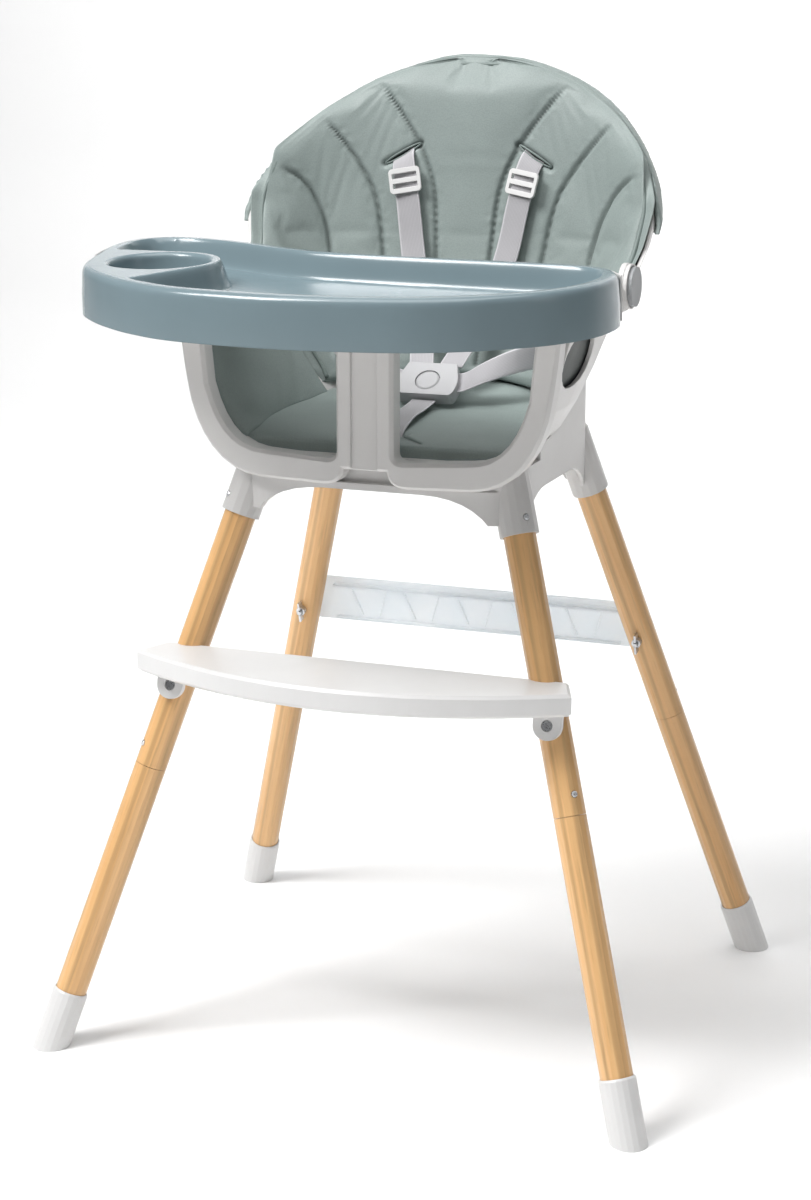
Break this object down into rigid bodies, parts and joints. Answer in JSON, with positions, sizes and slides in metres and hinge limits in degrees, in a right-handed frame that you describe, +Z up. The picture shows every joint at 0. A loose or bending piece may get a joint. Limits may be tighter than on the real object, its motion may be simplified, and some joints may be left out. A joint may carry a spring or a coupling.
{
  "type": "baby high chair",
  "caption": "High chair with a padded bucket seat and harness, slide-off tray with cup holder, footrest and splayed wooden legs that come apart at mid-height.",
  "frame": {"origin": "on the floor, under the middle of the overall bounding box", "axes": "+Z up, -Y towards the front of the chair where the tray is, +X to the right as seen by a viewer standing in front"},
  "size_m": [0.62, 0.6094, 0.939],
  "materials": {
    "white_plastic": "satin moulded white plastic with soft highlights",
    "white_fittings": "clean white moulded plastic, satin",
    "tray_plastic": "glossy dusty-blue moulded plastic",
    "grey_plastic": "satin mid-grey plastic",
    "padded_leather": "sage-green soft coated leather, padded and stitched in panels",
    "webbing": "woven grey harness webbing",
    "beech": "clear-lacquered pale beech, grain along the leg",
    "frosted_plastic": "translucent frosted plastic with a faint blue tint",
    "steel": "bright zinc-plated steel"
  },
  "bodies": {
    "chair": {"seat_shell": "white_plastic", "front_guard": "white_plastic", "seat_base": "white_plastic", "cushion_seat": "padded_leather", "cushion_side_left": "padded_leather", "cushion_side_right": "padded_leather", "cushion_back": "padded_leather", "back_pocket": "padded_leather", "shoulder_strap_left": "webbing", "shoulder_strap_right": "webbing", "waist_strap_left": "webbing", "waist_strap_right": "webbing", "crotch_strap": "webbing", "buckle_body": "white_fittings", "footrest": "white_fittings", "footrest_screw_left": "steel", "footrest_screw_right": "steel", "rear_brace": "frosted_plastic", "brace_bolt_left": "steel", "brace_bolt_right": "steel", "leg_upper_front_left": "beech", "leg_lower_front_left": "beech", "foot_front_left": "white_fittings", "leg_upper_front_right": "beech", "leg_lower_front_right": "beech", "foot_front_right": "white_fittings", "leg_upper_rear_left": "beech", "leg_lower_rear_left": "beech", "foot_rear_left": "white_fittings", "leg_upper_rear_right": "beech", "leg_lower_rear_right": "beech", "foot_rear_right": "white_fittings"},
    "tray": {"tray_base": "white_plastic"},
    "tray_cover": {"tray_cover": "tray_plastic"},
    "buckle_button": {"buckle_button": "white_fittings"},
    "tray_knob_left": {"tray_knob_left": "grey_plastic"},
    "strap_adjuster_left": {"strap_adjuster_left": "white_fittings"},
    "wing_nut_left": {"wing_nut_left": "steel"},
    "tray_knob_right": {"tray_knob_right": "grey_plastic"},
    "strap_adjuster_right": {"strap_adjuster_right": "white_fittings"},
    "wing_nut_right": {"wing_nut_right": "steel"},
    "socket_button_front_left": {"socket_button_front_left": "steel"},
    "seam_button_front_left": {"seam_button_front_left": "steel"},
    "socket_button_front_right": {"socket_button_front_right": "steel"},
    "seam_button_front_right": {"seam_button_front_right": "steel"},
    "socket_button_rear_left": {"socket_button_rear_left": "steel"},
    "seam_button_rear_left": {"seam_button_rear_left": "steel"},
    "socket_button_rear_right": {"socket_button_rear_right": "steel"},
    "seam_button_rear_right": {"seam_button_rear_right": "steel"}
  },
  "joints": [
    {"name": "tray_slide", "type": "slide", "parent": "chair", "child": "tray", "axis": [0, -0.9986, -0.0523], "range_m": [-0.01, 0.2]},
    {"name": "tray_cover_lift", "type": "slide", "parent": "tray", "child": "tray_cover", "axis": [0, -0.0523, 0.9986], "range_m": [0, 0.12]},
    {"name": "tray_knob_left_press", "type": "slide", "parent": "tray", "child": "tray_knob_left", "axis": [1, 0, 0], "range_m": [0, 0.003], "stiffness_N_per_m": 1200},
    {"name": "tray_knob_right_press", "type": "slide", "parent": "tray", "child": "tray_knob_right", "axis": [-1, 0, 0], "range_m": [0, 0.003], "stiffness_N_per_m": 1200},
    {"name": "strap_adjuster_left_slide", "type": "slide", "parent": "chair", "child": "strap_adjuster_left", "axis": [-0.1859, 0.1748, 0.9669], "range_m": [-0.02, 0.008]},
    {"name": "strap_adjuster_right_slide", "type": "slide", "parent": "chair", "child": "strap_adjuster_right", "axis": [0.1859, 0.1748, 0.9669], "range_m": [-0.02, 0.008]},
    {"name": "buckle_button_press", "type": "slide", "parent": "chair", "child": "buckle_button", "axis": [0, 0.6428, -0.766], "range_m": [0, 0.0025], "stiffness_N_per_m": 1500},
    {"name": "socket_button_front_left_press", "type": "slide", "parent": "chair", "child": "socket_button_front_left", "axis": [0.7035, 0.611, -0.363], "range_m": [0, 0.004], "stiffness_N_per_m": 1000},
    {"name": "socket_button_front_right_press", "type": "slide", "parent": "chair", "child": "socket_button_front_right", "axis": [-0.7035, 0.611, -0.363], "range_m": [0, 0.004], "stiffness_N_per_m": 1000},
    {"name": "socket_button_rear_left_press", "type": "slide", "parent": "chair", "child": "socket_button_rear_left", "axis": [0.7035, -0.611, -0.363], "range_m": [0, 0.004], "stiffness_N_per_m": 1000},
    {"name": "socket_button_rear_right_press", "type": "slide", "parent": "chair", "child": "socket_button_rear_right", "axis": [-0.7035, -0.611, -0.363], "range_m": [0, 0.004], "stiffness_N_per_m": 1000},
    {"name": "seam_button_front_left_press", "type": "slide", "parent": "chair", "child": "seam_button_front_left", "axis": [0.7035, 0.611, -0.363], "range_m": [0, 0.0072], "stiffness_N_per_m": 1000},
    {"name": "seam_button_front_right_press", "type": "slide", "parent": "chair", "child": "seam_button_front_right", "axis": [-0.7035, 0.611, -0.363], "range_m": [0, 0.0072], "stiffness_N_per_m": 1000},
    {"name": "seam_button_rear_left_press", "type": "slide", "parent": "chair", "child": "seam_button_rear_left", "axis": [0.7035, -0.611, -0.363], "range_m": [0, 0.0072], "stiffness_N_per_m": 1000},
    {"name": "seam_button_rear_right_press", "type": "slide", "parent": "chair", "child": "seam_button_rear_right", "axis": [-0.7035, -0.611, -0.363], "range_m": [0, 0.0072], "stiffness_N_per_m": 1000},
    {"name": "wing_nut_left_turn", "type": "hinge", "parent": "chair", "child": "wing_nut_left", "pos_m": [-0.18551, 0.19447, 0.362], "axis": [0, 0.9689, 0.2475], "range_deg": [-180, 180]},
    {"name": "wing_nut_right_turn", "type": "hinge", "parent": "chair", "child": "wing_nut_right", "pos_m": [0.18551, 0.19447, 0.362], "axis": [0, 0.9689, 0.2475], "range_deg": [-180, 180]}
  ]
}
